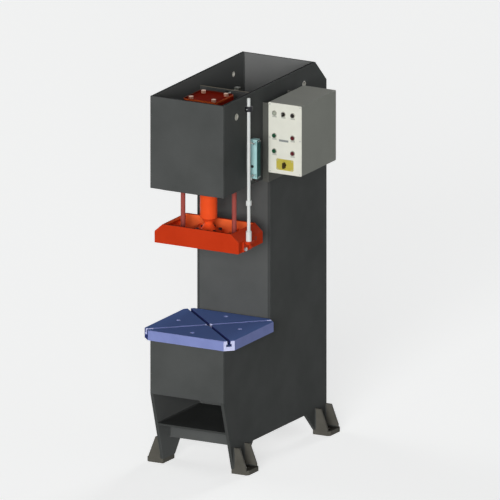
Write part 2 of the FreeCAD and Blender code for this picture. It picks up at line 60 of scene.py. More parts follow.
def nodeSpan(name):  # a node's low and high corners in the press's own millimetres
    low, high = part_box(name)
    return ([(low[0] - centreX) * 1000, (low[1] - frontY) * 1000, low[2] * 1000],
            [(high[0] - centreX) * 1000, (high[1] - frontY) * 1000, high[2] * 1000])


def nodeMiddle(name):
    return [(a + b) / 2 for a, b in zip(*nodeSpan(name))]


# colours and material nodes

def linear(hexColour):
    value = hexColour.lstrip("#")
    parts = [int(value[i:i + 2], 16) / 255 for i in (0, 2, 4)]
    return tuple(c / 12.92 if c <= 0.04045 else ((c + 0.055) / 1.055) ** 2.4 for c in parts) + (1.0,)


def perMetre(millimetres):  # pattern scale that gives features of this size on metre coordinates
    return 1000 / millimetres


def addNode(tree, kind, links=None, **settings):
    made = tree.nodes.new("ShaderNode" + kind)
    for name, value in settings.items():
        setattr(made, name, value)
    for socket, source in (links or {}).items():
        if isinstance(source, tuple) and isinstance(source[0], bpy.types.Node):
            tree.links.new(source[0].outputs[source[1]], made.inputs[socket])
        else:
            made.inputs[socket].default_value = source
    return made


def newMaterial(name):
    material = bpy.data.materials.new(name)
    material.use_nodes = True
    material.node_tree.nodes.clear()
    return material, material.node_tree


def insideBox(middle, half, slope=(0, 0, 1), slopeReach=2000):  # where another colour shows, in mm
    return {"middle": onPress(*middle), "half": [side / 1000 for side in half],
            "slope": slope, "slopeReach": slopeReach / 1000}


noiseSpan = {"From Min": 0.3, "From Max": 0.7}  # nearly all of a noise's values lie between these

# Sprayed enamel on plate steel: even and satin, with a faint orange peel, hand marks and rubbed edges.
enamel = {"shade": "#3a3c3b", "cloudMm": 260, "cloudDepth": 0.38, "edgeMm": 1.2, "frayMm": 14, "rub": 0.25,
          "rubbed": "#6e6f6c", "wearFrom": 0.86, "wearTo": 0.985, "peelMm": 2.5, "peelDepth": 0.25,
          "peelRiseMm": 0.6, "gloss": (0.5, 0.62), "specular": 0.04, "dust": 0.0, "dustThin": 0.75,
          "dustFacing": (0.75, 0.98), "dustColour": "#8f8f88", "dustGloss": 1.0, "inside": None,
          "insideColour": "#8f8f88"}


def sprayedEnamel(name, **own):
    spec = {**enamel, **own}
    material, tree = newMaterial(name)
    place = addNode(tree, "TexCoord")
    cloud = addNode(tree, "TexNoise", {"Vector": (place, "Object"), "Detail": 4.0,
                    "Roughness": 0.55, "Scale": perMetre(spec["cloudMm"])})
    cloudSpread = addNode(tree, "MapRange", {"Value": (cloud, "Fac"), "From Min": 0.35,
                          "From Max": 0.7, "To Max": spec["cloudDepth"]})
    body = addNode(tree, "Mix", {"Factor": (cloudSpread, "Result"), "A": linear(spec["colour"]),
                   "B": linear(spec["shade"])}, data_type="RGBA")
    rounded = addNode(tree, "Bevel", {"Radius": spec["edgeMm"] / 1000}, samples=4)
    flat = addNode(tree, "NewGeometry")
    agree = addNode(tree, "VectorMath", {0: (rounded, "Normal"), 1: (flat, "Normal")},
                    operation="DOT_PRODUCT")
    fray = addNode(tree, "TexNoise", {"Vector": (place, "Object"), "Detail": 3.0,
                   "Scale": perMetre(spec["frayMm"])})
    limit = addNode(tree, "MapRange", {"Value": (fray, "Fac"), **noiseSpan,
                    "To Min": spec["wearFrom"], "To Max": spec["wearTo"]})
    # the edge mask: real wear on most finishes, a painted highlight on the cylinder's corners
    worn = addNode(tree, "Math", {0: (agree, "Value"), 1: (limit, "Result")}, operation="LESS_THAN")
    wornPart = addNode(tree, "Math", {0: (worn, "Value"), 1: spec["rub"]}, operation="MULTIPLY")
    colour = addNode(tree, "Mix", {"Factor": (wornPart, "Value"), "A": (body, "Result"),
                     "B": linear(spec["rubbed"])}, data_type="RGBA")
    peel = addNode(tree, "TexNoise", {"Vector": (place, "Object"), "Detail": 2.0,
                   "Scale": perMetre(spec["peelMm"])})
    bump = addNode(tree, "Bump", {"Height": (peel, "Fac"), "Strength": spec["peelDepth"],
                   "Distance": spec["peelRiseMm"] / 1000, "Normal": (rounded, "Normal")})
    sheen = addNode(tree, "MapRange", {"Value": (cloud, "Fac"), **noiseSpan,
                    "To Min": spec["gloss"][0], "To Max": spec["gloss"][1]})
    if spec["dust"]:  # painted shading on what faces up: lighter or darker by its colour, uneven in drifts, with its own roughness there
        facing = addNode(tree, "SeparateXYZ", {"Vector": (place, "Normal")})
        level = addNode(tree, "MapRange", {"Value": (facing, "Z"),
                        "From Min": spec["dustFacing"][0], "From Max": spec["dustFacing"][1]})
        drift = addNode(tree, "MapRange", {"Value": (cloud, "Fac"), **noiseSpan,
                        "To Min": spec["dustThin"] * spec["dust"], "To Max": spec["dust"]})
        film = addNode(tree, "Math", {0: (level, "Result"), 1: (drift, "Result")}, operation="MULTIPLY")
        colour = addNode(tree, "Mix", {"Factor": (film, "Value"), "A": (colour, "Result"),
                         "B": linear(spec["dustColour"])}, data_type="RGBA")
        sheen = addNode(tree, "MapRange", {"Value": (film, "Value"),
                        "To Min": (sheen, "Result"), "To Max": spec["dustGloss"]})
    if spec["inside"]:  # another colour within a box, lighter as painted light or darker as painted shade, and under a slope that may cut the box's upper corners
        box = spec["inside"]
        off = addNode(tree, "VectorMath", {0: (place, "Object"), 1: box["middle"]}, operation="SUBTRACT")
        size = addNode(tree, "VectorMath", {0: (off, "Vector")}, operation="ABSOLUTE")
        past = addNode(tree, "VectorMath", {0: (size, "Vector"), 1: box["half"]}, operation="SUBTRACT")
        axes = addNode(tree, "SeparateXYZ", {"Vector": (past, "Vector")})
        widest = addNode(tree, "Math", {0: (axes, "X"), 1: (axes, "Y")}, operation="MAXIMUM")
        most = addNode(tree, "Math", {0: (widest, "Value"), 1: (axes, "Z")}, operation="MAXIMUM")
        along = addNode(tree, "VectorMath", {0: (size, "Vector"), 1: box["slope"]}, operation="DOT_PRODUCT")
        over = addNode(tree, "Math", {0: (along, "Value"), 1: box["slopeReach"]}, operation="SUBTRACT")
        furthest = addNode(tree, "Math", {0: (most, "Value"), 1: (over, "Value")}, operation="MAXIMUM")
        within = addNode(tree, "Math", {0: (furthest, "Value"), 1: 0.0}, operation="LESS_THAN")
        colour = addNode(tree, "Mix", {"Factor": (within, "Value"), "A": (colour, "Result"),
                         "B": linear(spec["insideColour"])}, data_type="RGBA")
    paint = addNode(tree, "BsdfPrincipled", {"Base Color": (colour, "Result"), "Roughness": (sheen, "Result"),
                    "Normal": (bump, "Normal"), "IOR": 1.5, "Specular IOR Level": spec["specular"]})
    addNode(tree, "OutputMaterial", {"Surface": (paint, "BSDF")})
    return material


# Cut or drawn steel: fine lines along one direction, and soft stains left by hands and coolant.
# Real grinding lines are about 0.05 mm apart, too fine to show here, so they are drawn 0.8 mm apart.
metalSheen = {"shade": "#8c8a83", "grain": (1, 1, 12), "lineMm": 0.8, "lineDepth": 0.2, "lineRiseMm": 0.3,
              "stainMm": 35, "stainDepth": 0.35, "gloss": (0.28, 0.42), "metallic": 1.0, "specular": 0.5,
              "milled": None, "milledColour": "#c9c8c4", "topColour": "#c9c8c4", "sootColour": "#c9c8c4"}


def machinedMetal(name, **own):
    spec = {**metalSheen, **own}
    material, tree = newMaterial(name)
    place = addNode(tree, "TexCoord")
    drawn = addNode(tree, "Mapping", {"Vector": (place, "Object"), "Scale": spec["grain"]})
    lines = addNode(tree, "TexNoise", {"Vector": (drawn, "Vector"), "Detail": 3.0,
                    "Scale": perMetre(spec["lineMm"])})
    stain = addNode(tree, "TexNoise", {"Vector": (place, "Object"), "Detail": 4.0,
                    "Scale": perMetre(spec["stainMm"])})
    stained = addNode(tree, "MapRange", {"Value": (stain, "Fac"), "From Min": 0.4,
                      "From Max": 0.75, "To Max": spec["stainDepth"]})
    colour = addNode(tree, "Mix", {"Factor": (stained, "Result"), "A": linear(spec["colour"]),
                     "B": linear(spec["shade"])}, data_type="RGBA")
    gloss = addNode(tree, "MapRange", {"Value": (lines, "Fac"), **noiseSpan,
                    "To Min": spec["gloss"][0], "To Max": spec["gloss"][1]})
    bump = addNode(tree, "Bump", {"Height": (lines, "Fac"), "Strength": spec["lineDepth"],
                   "Distance": spec["lineRiseMm"] / 1000})
    # painted shade on the top and on what faces along one diagonal, a painted highlight on the corners that
    # face along the other diagonal, and bare metal in the milled bore
    if spec["milled"]:
        cutter = spec["milled"]
        nearly, fully = cutter["diagonal"]
        facing = addNode(tree, "SeparateXYZ", {"Vector": (place, "Normal")})
        upward = addNode(tree, "MapRange", {"Value": (facing, "Z"),
                         "From Min": cutter["upward"][0], "From Max": cutter["upward"][1]})
        colour = addNode(tree, "Mix", {"Factor": (upward, "Result"), "A": (colour, "Result"),
                         "B": linear(spec["topColour"])}, data_type="RGBA")
        diagonal = addNode(tree, "Math", {0: (facing, "X"), 1: (facing, "Y")}, operation="MULTIPLY")
        lit = addNode(tree, "MapRange", {"Value": (diagonal, "Value"), "From Min": -nearly,
                      "From Max": -fully})
        sooty = addNode(tree, "MapRange", {"Value": (diagonal, "Value"), "From Min": nearly,
                        "From Max": fully})
        colour = addNode(tree, "Mix", {"Factor": (sooty, "Result"), "A": (colour, "Result"),
                         "B": linear(spec["sootColour"])}, data_type="RGBA")
        off = addNode(tree, "VectorMath", {0: (place, "Object"), 1: cutter["middle"]}, operation="SUBTRACT")
        offFlat = addNode(tree, "VectorMath", {0: (off, "Vector"), 1: (1, 1, 0)}, operation="MULTIPLY")
        there = addNode(tree, "SeparateXYZ", {"Vector": (offFlat, "Vector")})
        away = addNode(tree, "Math", {0: (there, "X")}, operation="ABSOLUTE")
        outer = addNode(tree, "MapRange", {"Value": (away, "Value"),
                        "From Min": cutter["outerX"] - cutter["blend"], "From Max": cutter["outerX"]})
        # the corners facing along that diagonal take the painted highlight
        cut = addNode(tree, "Math", {0: (lit, "Result"), 1: (outer, "Result")}, operation="MULTIPLY")
        fromAxis = addNode(tree, "VectorMath", {0: (offFlat, "Vector")}, operation="LENGTH")
        bore = addNode(tree, "Math", {0: (fromAxis, "Value"), 1: cutter["boreR"]}, operation="LESS_THAN")
        bare = addNode(tree, "Math", {0: (cut, "Value"), 1: (bore, "Value")}, operation="MAXIMUM")
        colour = addNode(tree, "Mix", {"Factor": (bare, "Value"), "A": (colour, "Result"),
                         "B": linear(spec["milledColour"])}, data_type="RGBA")
    metal = addNode(tree, "BsdfPrincipled", {"Base Color": (colour, "Result"),
                    "Metallic": spec["metallic"], "Roughness": (gloss, "Result"),
                    "Specular IOR Level": spec["specular"], "Normal": (bump, "Normal")})
    addNode(tree, "OutputMaterial", {"Surface": (metal, "BSDF")})
    return material


# Injection-moulded plastic: even colour, fine spark-eroded grain, gloss a little broken by handling.
# The real grain is about 0.1 mm, too fine to show here, so it is drawn at 0.9 mm.
plasticSheen = {"handMm": 18, "handDepth": 0.45, "grainMm": 0.9, "grainDepth": 0.2, "grainRiseMm": 0.2,
                "gloss": (0.28, 0.42), "specular": 0.3}


def mouldedPlastic(name, **own):
    spec = {**plasticSheen, **own}
    material, tree = newMaterial(name)
    place = addNode(tree, "TexCoord")
    handled = addNode(tree, "TexNoise", {"Vector": (place, "Object"), "Detail": 3.0,
                      "Scale": perMetre(spec["handMm"])})
    tint = addNode(tree, "MapRange", {"Value": (handled, "Fac"), "From Min": 0.35,
                   "From Max": 0.75, "To Max": spec["handDepth"]})
    colour = addNode(tree, "Mix", {"Factor": (tint, "Result"), "A": linear(spec["colour"]),
                     "B": linear(spec["shade"])}, data_type="RGBA")
    grain = addNode(tree, "TexNoise", {"Vector": (place, "Object"), "Detail": 2.0,
                    "Scale": perMetre(spec["grainMm"])})
    bump = addNode(tree, "Bump", {"Height": (grain, "Fac"), "Strength": spec["grainDepth"],
                   "Distance": spec["grainRiseMm"] / 1000})
    gloss = addNode(tree, "MapRange", {"Value": (handled, "Fac"), **noiseSpan,
                    "To Min": spec["gloss"][0], "To Max": spec["gloss"][1]})
    plastic = addNode(tree, "BsdfPrincipled", {"Base Color": (colour, "Result"), "IOR": 1.5,
                      "Roughness": (gloss, "Result"), "Specular IOR Level": spec["specular"],
                      "Normal": (bump, "Normal")})
    addNode(tree, "OutputMaterial", {"Surface": (plastic, "BSDF")})
    return material


# the insides that differ in colour: painted light in the platen's tray and on the left side plate's inner
# face, painted shade on the head block within its rim
tableMiddle = nodeMiddle("table")
trayLow, trayHigh = nodeSpan("platen")
trayHalf = [(b - a) / 2 for a, b in zip(trayLow, trayHigh)]
blockLow, blockHigh = nodeSpan("cylinder_body")
blockHalf = (blockHigh[0] - blockLow[0]) / 2
sideLow, sideHigh = nodeSpan("left_side_plate")
insides = {"trayWall": 11.5, "trayLip": 2, "traySlope": (0.666, 0, 0.746), "traySlopeReach": 173.4,
           "rimEdge": 2.5, "sideDepth": 1, "past": 1000, "sidePast": 1200}  # past: beyond a piece's ends
trayInside = insideBox(nodeMiddle("platen"), (trayHalf[0] - insides["trayWall"],
                       trayHalf[1] - insides["trayWall"], trayHalf[2] - insides["trayLip"]),
                       insides["traySlope"], insides["traySlopeReach"])
rimHalf, past = blockHalf - insides["rimEdge"], insides["past"]
rimInside = insideBox(nodeMiddle("cylinder_body"), (rimHalf, rimHalf, past), slopeReach=past)
sideInside = insideBox((sideHigh[0], (sideLow[1] + sideHigh[1]) / 2, past),
                       (insides["sideDepth"], past, insides["sidePast"]))
# the table's masks: how far out the corners with the painted highlight lie, its bore, how far a face looks
# up for the painted shade on top, and the product of its normal's X and Y from which it looks diagonally
tableCut = {"middle": onPress(*tableMiddle), "outerX": 0.226, "blend": 0.001, "boreR": 0.021,
            "upward": (0.9, 0.98), "diagonal": (0.44, 0.48)}

finishes = {
    # charcoal enamel on the welded frame: satin, with painted shade on what faces up
    "frame_paint": sprayedEnamel("charcoalMachineEnamel", colour="#555756", dust=0.7, dustColour="#222322"),
    # red oxide enamel on the cylinder: deep and matt, its corners a pale orange as a painted highlight
    "red_paint": sprayedEnamel("redCylinderEnamel", colour="#951e09", shade="#701406", rubbed="#f07a40",
                               edgeMm=4, rub=0.7, frayMm=30, specular=0.005),
    # powder coat on the folded control box: pebbled, a little greener than the frame, with a pale painted
    # light on its top
    "box_paint": sprayedEnamel("greyPowderCoat", colour="#959790", shade="#898b84", peelMm=1.4,
                               peelDepth=0.5, gloss=(0.55, 0.65), dust=0.95, dustColour="#b6b7af"),
    # stoved enamel on the panel: off-white, smooth and even
    "panel": sprayedEnamel("whiteStovedEnamel", colour="#ebebdf", shade="#dfdfd2", rubbed="#c4c5bb",
                           cloudMm=60, gloss=(0.35, 0.45)),
    # lacquer over a ground steel table: blue-violet, painted shade on top and on what faces along one
    # diagonal, and a painted highlight on the corners facing along the other
    "table_steel": machinedMetal("blueLacqueredSteel", colour="#8a95cd", shade="#7682b8", grain=(1, 8, 1),
                                 stainMm=60, metallic=0.0, gloss=(0.5, 0.62), specular=0.0, milled=tableCut,
                                 milledColour="#d8dcff", topColour="#6781c0", sootColour="#3b4580"),
    # safety enamel on everything that moves with the ram: bright red-orange, satin
    "ram_red": sprayedEnamel("orangeSafetyEnamel", colour="#cc3c1a", shade="#b93214", rubbed="#e88a62",
                             cloudMm=120, gloss=(0.34, 0.46)),
    # ground steel, as left by the wheel: fine lines that catch the light
    "bright_steel": machinedMetal("groundSteel", colour="#c9c8c4"),
    # zinc plate on screws and levers: pale and even, with a soft gleam
    "zinc": machinedMetal("zincPlate", colour="#c4c6c4", grain=(1, 1, 1), lineMm=3, stainMm=12, metallic=0.9),
    # white enamel on the stroke rod: chalky where hands move the collars
    "white_rod": sprayedEnamel("whiteRodEnamel", colour="#e6e9e7", shade="#d0d4d2", rubbed="#a9aca4",
                               cloudMm=80, gloss=(0.35, 0.5)),
    # steel blackened in hot salts: nearly black, with a low oily sheen
    "black_steel": machinedMetal("blackenedSteel", colour="#26262a", shade="#1b1b1d", metallic=0.6,
                                 gloss=(0.4, 0.55)),
    # hammer finish on the cast switch housing: pale teal, dimpled
    "switch_shell": sprayedEnamel("tealHammerEnamel", colour="#b1dada", shade="#9ccaca",
                                  rubbed="#d0e8e8", cloudMm=30, peelMm=3, peelDepth=0.6),
    # acrylic lens over a lamp that is off: grey-green and glossy
    "lamp": mouldedPlastic("acrylicLampLens", colour="#aab0a0", shade="#979d8e", gloss=(0.08, 0.16)),
    # nylon of the selector's knob and the cable gland: black, softly glossy
    "black_plastic": mouldedPlastic("blackNylon", colour="#2a2523", shade="#1d1918"),
    # acetal of the push buttons: dark green and dark red, smooth from fingers
    "green_plastic": mouldedPlastic("greenButtonAcetal", colour="#1f5238", shade="#18432d"),
    "red_plastic": mouldedPlastic("redButtonAcetal", colour="#5f1a22", shade="#4c141b"),
    # moulded plate round the main switch: dull yellow, nearly matt
    "yellow_plastic": mouldedPlastic("yellowSwitchPlate", colour="#c7b94f", shade="#b5a845",
                                     gloss=(0.4, 0.5)),
    # cast bronze of the rod's and the guides' bushes, turned: warm, with fine rings
    "bronze": machinedMetal("turnedBronze", colour="#b58b55", shade="#8d6a3d"),
    # enamel of the power unit inside the column: plain grey on the tank, blue-grey on rough castings
    "tank_paint": sprayedEnamel("greyTankEnamel", colour="#5b6166", shade="#4d5358"),
    "motor_paint": sprayedEnamel("blueGreyCastEnamel", colour="#5a6a76", shade="#4b5a65", peelMm=4,
                                 peelDepth=0.6),
    # weld beads under a thin coat of the enamel round them: a little darker, rippled by the arc
    "weld": sprayedEnamel("paintedWeldBead", colour="#4b4d4c", peelMm=1.5, peelDepth=0.5),
    "ramWeld": sprayedEnamel("orangeWeldBead", colour="#c23818", shade="#a92c11", rubbed="#e88a62",
                             peelMm=1.5, peelDepth=0.5),
    # enamel on the piston rod: a brighter orange than the platen's, as painted light on the rod
    "pistonRod": sprayedEnamel("orangeRodEnamel", colour="#fb5a29", shade="#e84a1c", rubbed="#f0a07c",
                               cloudMm=90, gloss=(0.3, 0.42)),
    # enamel on the guide rods: a darker red-brown
    "guideRod": sprayedEnamel("oiledRedBrownEnamel", colour="#a7554e", shade="#8e423c",
                              rubbed="#c98a78", cloudMm=90, gloss=(0.3, 0.4)),
    # enamel on the platen: a lighter orange inside its tray as painted light where the tray lies in shade,
    # and painted shade on what faces up along its rim
    "platen": sprayedEnamel("orangeTrayEnamel", colour="#cc3c1a", shade="#b93214", rubbed="#e88a62",
                            cloudMm=120, gloss=(0.6, 0.75), dust=0.85, dustColour="#7a2410",
                            dustGloss=0.5, inside=trayInside, specular=0.02, insideColour="#ff743e"),
    # yellow zinc plate on the head block's bolts: a pale pinkish gold
    "boltPlate": machinedMetal("yellowZincPlate", colour="#d3a88f", shade="#ad8066", grain=(1, 1, 1),
                               lineMm=3, stainMm=12, metallic=0.5),
    # nickel plate on the lifting holes' liners and the panel's bezels: pale and warm
    "liner": machinedMetal("paleNickelPlate", colour="#c4c2b8", grain=(1, 1, 1), lineMm=2, stainMm=10,
                           metallic=0.3),
    # phosphated steel of the hydraulic pipes: grey and matt
    "pipeSteel": machinedMetal("phosphatedSteel", colour="#65665f", shade="#54554f", grain=(1, 1, 1),
                               lineMm=4, metallic=0.5, gloss=(0.45, 0.6)),
    # nylon of the main switch's handle: dark brown, softly glossy
    "grip": mouldedPlastic("darkBrownNylon", colour="#3b2d14", shade="#2c210e"),
    # enamel on the head block's drip rim: orange outside as a painted highlight along the block's top edge,
    # and dark red inside as painted shade
    "rim": sprayedEnamel("orangeRimEnamel", colour="#c95527", shade="#b0471c", rubbed="#e07a48",
                         cloudMm=60, specular=0.02, inside=rimInside, insideColour="#5e170b"),
    # enamel on the feet: browner and blotched, with painted shade on what faces up on their soles
    "feet": sprayedEnamel("dustyFootEnamel", colour="#626059", shade="#52504a", cloudMm=90,
                          cloudDepth=0.6, dust=0.9, dustColour="#2a2722"),
    # powder coat on the folded bracket behind the control box: pebbled dark grey
    "bracket": sprayedEnamel("darkPowderCoat", colour="#61625d", shade="#555651", peelMm=1.4,
                             peelDepth=0.5, gloss=(0.55, 0.65)),
    # moulded cover on the switch's side: dark teal, matt, as painted shade on the housing's shaded side
    "coverTeal": mouldedPlastic("darkTealCover", colour="#1c4a49", shade="#143a39", gloss=(0.4, 0.55),
                                specular=0.1),
    # laminate of the panel's blank labels and strip: flat pale grey, and a darker grey
    "label": mouldedPlastic("engravingLaminate", colour="#c3c5ba", shade="#b6b8ad", gloss=(0.45, 0.55)),
    "strip": mouldedPlastic("greyLaminate", colour="#8f9492", shade="#828785", gloss=(0.45, 0.55)),
    # nitrile rubber of the plug in the switch's face: black and dull
    "gasket": mouldedPlastic("nitrileRubber", colour="#1c1c1d", shade="#141415", gloss=(0.6, 0.75)),
    # enamel on the side plates: a darker copy of the frame's as painted shade on their sides, lighter on the
    # left plate's inner face as painted light, and painted shade along the top edges
    "sidePaint": sprayedEnamel("darkenedMachineEnamel", colour="#4b4d4c", dust=0.9,
                               dustColour="#1b1c1c", insideColour="#626463", inside=sideInside),
    # enamel on the walls between the side plates: a lighter copy of the frame's, as painted light where they
    # stand in shade, with a pale painted light on what faces up
    "wallPaint": sprayedEnamel("freshMachineEnamel", colour="#5e605f", dust=0.7, shade="#484a49",
                               dustColour="#b8ae98"),
    # enamel on the rear plate and its cover: a lighter copy of the frame's, as painted light for the back,
    # with painted shade on what faces up
    "rearPaint": sprayedEnamel("paleMachineEnamel", colour="#6a6c6b", dust=0.9, shade="#565857",
                               dustColour="#242525"),
    # enamel on the plate behind the head block: the lightest copy of the frame's grey, as painted light where
    # the head shades it, with painted shade on what faces up
    "backPaint": sprayedEnamel("shelteredMachineEnamel", colour="#7a7b7a", dust=0.9, shade="#666867",
                               dustColour="#242525"),
    # enamel on the floor plate: a darker copy of the frame's, as painted shade in the lower bay
    "floorPaint": sprayedEnamel("oilyMachineEnamel", colour="#444645", shade="#363837"),
    # white zinc plate on the table's screws: cool and pale, with a film of the table's lacquer
    "screwPlate": machinedMetal("whiteZincPlate", colour="#c2cfff", shade="#aebcf4", grain=(1, 1, 1),
                                lineMm=3, stainMm=12, metallic=0.0, specular=0.1),
}
slotOf = {part["node"]: part["material_slot"] for part in frame["record"]["subparts"]}
ownFinish = {
    "pistonRod": ["piston_rod"], "guideRod": ["guide_rod_left", "guide_rod_right"], "platen": ["platen"],
    "boltPlate": ["head_block_bolts"], "bracket": ["control_bracket"], "grip": ["main_switch_handle"],
    "feet": ["foot_front_left", "foot_front_right", "foot_rear_left", "foot_rear_right"],
    "sidePaint": ["left_side_plate", "right_side_plate"], "backPaint": ["head_back_plate"],
    "wallPaint": ["column_front_plate", "front_cross_plate"], "floorPaint": ["floor_plate"],
    "rearPaint": ["rear_plate", "rear_access_cover"], "pipeSteel": ["press_pipe", "return_pipe"]}
finishOf = {**slotOf, **{node: finish for finish, group in ownFinish.items() for node in group}}
for name, node in frame["nodes"].items():
    for materialSlot in node.material_slots:
        materialSlot.material = finishes[finishOf[name]]
print("materials:", len(finishes))


# mesh helpers, all in the press's own millimetres

def makePiece(name, points, faces, finish, slot, body="frame"):
    mesh = bpy.data.meshes.new(name)
    mesh.from_pydata([onPress(*p) for p in points], [], faces)
    mesh.validate()
    piece = bpy.data.objects.new(name, mesh)
    bpy.context.scene.collection.objects.link(piece)
    shape = bmesh.new()
    shape.from_mesh(mesh)
    bmesh.ops.recalc_face_normals(shape, faces=shape.faces)
    shape.to_mesh(mesh)
    shape.free()
    mesh.materials.append(finishes[finish])
    mesh.shade_smooth()
    mesh.set_sharp_from_angle(angle=math.radians(32))
    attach(piece, body)
    return piece


def ringAt(place, axis, level, radiusAt, steps=48):  # points round an axis, radiusAt(angle) away from it
    turn = Vector((0, 0, 1)).rotation_difference(Vector(axis)).to_matrix()
    ring = []
    for i in range(steps):
        angle = 2 * math.pi * i / steps
        radius = radiusAt(angle)
        local = turn @ Vector((radius * math.cos(angle), radius * math.sin(angle), level))
        ring.append(tuple(local + Vector(place)))
    return ring


def bandFaces(row, steps=48):  # faces between a ring and the next one
    return [[row * steps + i, row * steps + (i + 1) % steps, (row + 1) * steps + (i + 1) % steps,
             (row + 1) * steps + i] for i in range(steps)]


def hexReach(across, angle):  # from a hexagon's middle to its side
    corner = across / math.sqrt(3)
    return corner * math.cos(math.pi / 6) / math.cos((angle % (math.pi / 3)) - math.pi / 6)


def turned(outline, place, axis, steps=48, closed=False):  # outline is (radius, reach along the axis)
    points, faces, rings = [], [], []
    for radius, reach in outline:
        count = 1 if radius < 0.001 else steps
        rings.append((len(points), count))
        points += ringAt(place, axis, reach, lambda angle: radius, steps)[:count]
    pairs = list(zip(rings, rings[1:])) + ([(rings[-1], rings[0])] if closed else [])
    for (a, aCount), (b, bCount) in pairs:
        for i in range(steps):
            j = (i + 1) % steps
            ring = [a + i % aCount, a + j % aCount, b + j % bCount, b + i % bCount]
            faces.append(list(dict.fromkeys(ring)))
    return points, [f for f in faces if len(f) > 2]


def joined(parts):  # several (points, faces) as one
    points, faces = [], []
    for morePoints, moreFaces in parts:
        shift = len(points)
        points += morePoints
        faces += [[i + shift for i in face] for face in moreFaces]
    return points, faces


def plank(low, high, bevel):  # block with its edges cut back all round, as four stacked outlines
    points = []
    for z, inset in ((low[2], bevel), (low[2] + bevel, 0), (high[2] - bevel, 0), (high[2], bevel)):
        x0, x1, y0, y1 = low[0] + inset, high[0] - inset, low[1] + inset, high[1] - inset
        points += [(x0 + bevel, y0, z), (x1 - bevel, y0, z), (x1, y0 + bevel, z), (x1, y1 - bevel, z),
                   (x1 - bevel, y1, z), (x0 + bevel, y1, z), (x0, y1 - bevel, z), (x0, y0 + bevel, z)]
    faces = bandFaces(0, 8) + bandFaces(1, 8) + bandFaces(2, 8)
    return points, faces + [list(range(7, -1, -1)), list(range(24, 32))]


def socketHead(sizes, place, axis):  # cap screw head: radius, height, and its socket's width and depth
    radius, height, across, depth = sizes
    points, faces = turned([(radius, 0), (radius, height - 1), (radius - 1, height)], place, axis)
    for level in (height, height - depth):
        points += ringAt(place, axis, level, lambda angle: hexReach(across, angle))
    return points, faces + bandFaces(2) + bandFaces(3) + [list(range(4 * 48, 5 * 48))]


def hexagon(across, height, place, axis):  # nut with its corners turned off
    corner, points = across / math.sqrt(3), []
    for level, cut in ((0, 0.94), (height * 0.12, 1.0), (height * 0.88, 1.0), (height, 0.94)):
        points += ringAt(place, axis, level, lambda angle: min(hexReach(across, angle), corner * cut))
    faces = bandFaces(0) + bandFaces(1) + bandFaces(2)
    return points, faces + [list(range(48)), list(range(3 * 48, 4 * 48))]


weldBead = {"stepMm": 2.2, "rippleMm": 6.5, "ripple": 0.1, "uneven": 0.03, "endSize": 0.55, "endSlope": 3,
            "belly": (0.74, 0.05), "across": 6}


def weldLine(start, end, sideA, sideB, leg):  # rippled fillet along a corner between two faces
    start, end, sideA, sideB = (Vector(v) for v in (start, end, sideA, sideB))
    length = (end - start).length
    count, across = max(4, int(length / weldBead["stepMm"])), weldBead["across"]
    depth, uneven, (hollow, fullness) = weldBead["ripple"], weldBead["uneven"], weldBead["belly"]
    points, faces = [], []
    for i in range(count + 1):
        along = i / count
        wave = abs(math.sin(math.pi * along * length / weldBead["rippleMm"]))
        ripple = 1 - depth + depth * wave + random.uniform(-uneven, uneven)
        taper = min(1.0, weldBead["endSize"] + weldBead["endSlope"] * min(along, 1 - along))
        size = leg * ripple * taper
        for k in range(across + 1):
            turn = math.pi / 2 * k / across
            swell = hollow + fullness * math.sin(2 * turn)
            point = start.lerp(end, along)
            if k == 0:
                point = point + sideA * size
            elif k == across:
                point = point + sideB * size
            else:
                point = point + (sideA * math.cos(turn) + sideB * math.sin(turn)) * size * swell
            points.append(tuple(point))
    for i in range(count):
        for k in range(across):
            a = i * (across + 1) + k
            faces.append([a, a + 1, a + across + 2, a + across + 1])
    return points, faces


# the frame's welds, lifting eyes and rear cover

frameSeams = {"leg": 6, "thinLeg": 4.8, "gap": 4, "longGap": 40, "topGap": 2, "endGap": 8}
plateLow, plateHigh = nodeSpan("right_side_plate")
baseLow, baseHigh = nodeSpan("head_base_plate")
mountLow, mountHigh = nodeSpan("cylinder_mount_plate")
wallLow, wallHigh = nodeSpan("column_front_plate")
floorLow, floorHigh = nodeSpan("floor_plate")
crossLow, crossHigh = nodeSpan("front_cross_plate")
backLow, backHigh = nodeSpan("head_back_plate")
headHigh = nodeSpan("head_front_plate")[1]
leg, gap, longGap, endGap = (frameSeams[key] for key in ("leg", "gap", "longGap", "endGap"))
# each seam along a side plate runs from (y, z) to (y, z), and its other face looks the third way
sideSeams = [
    # under the base plate, over the mount plate and the floor plate, and up the cross plate
    ((baseLow[1] + gap, baseLow[2]), (baseHigh[1] - longGap, baseLow[2]), (0, 0, -1)),
    ((mountLow[1] + gap, mountHigh[2]), (mountHigh[1] - gap, mountHigh[2]), (0, 0, 1)),
    ((floorLow[1] + gap, floorHigh[2]), (wallLow[1] - gap, floorHigh[2]), (0, 0, 1)),
    ((crossLow[1], crossLow[2] + gap), (crossLow[1], crossHigh[2] - frameSeams["topGap"]), (0, -1, 0)),
    # upright inside the open head
    ((headHigh[1], mountHigh[2] + leg), (headHigh[1], headHigh[2] - gap), (0, 1, 0)),
    ((wallHigh[1], mountHigh[2] + leg), (wallHigh[1], wallHigh[2] - gap), (0, 1, 0)),
    ((backLow[1], backLow[2] + longGap), (backLow[1], backHigh[2] - gap), (0, -1, 0))]
beads = [weldLine((side * plateLow[0], *start), (side * plateLow[0], *end), (-side, 0, 0), out, leg)
         for side in (-1, 1) for start, end, out in sideSeams]
# and two across, behind the head's front plate
beads.append(weldLine((baseLow[0] + endGap, headHigh[1], baseLow[2]),
                      (baseHigh[0] - endGap, headHigh[1], baseLow[2]),
                      (0, 1, 0), (0, 0, -1), frameSeams["thinLeg"]))
beads.append(weldLine((mountLow[0] + endGap, mountLow[1], mountHigh[2]),
                      (mountHigh[0] - endGap, mountLow[1], mountHigh[2]), (0, 1, 0), (0, 0, 1), leg))
makePiece("frame_weld_seams", *joined(beads), "weld", "frame_paint")

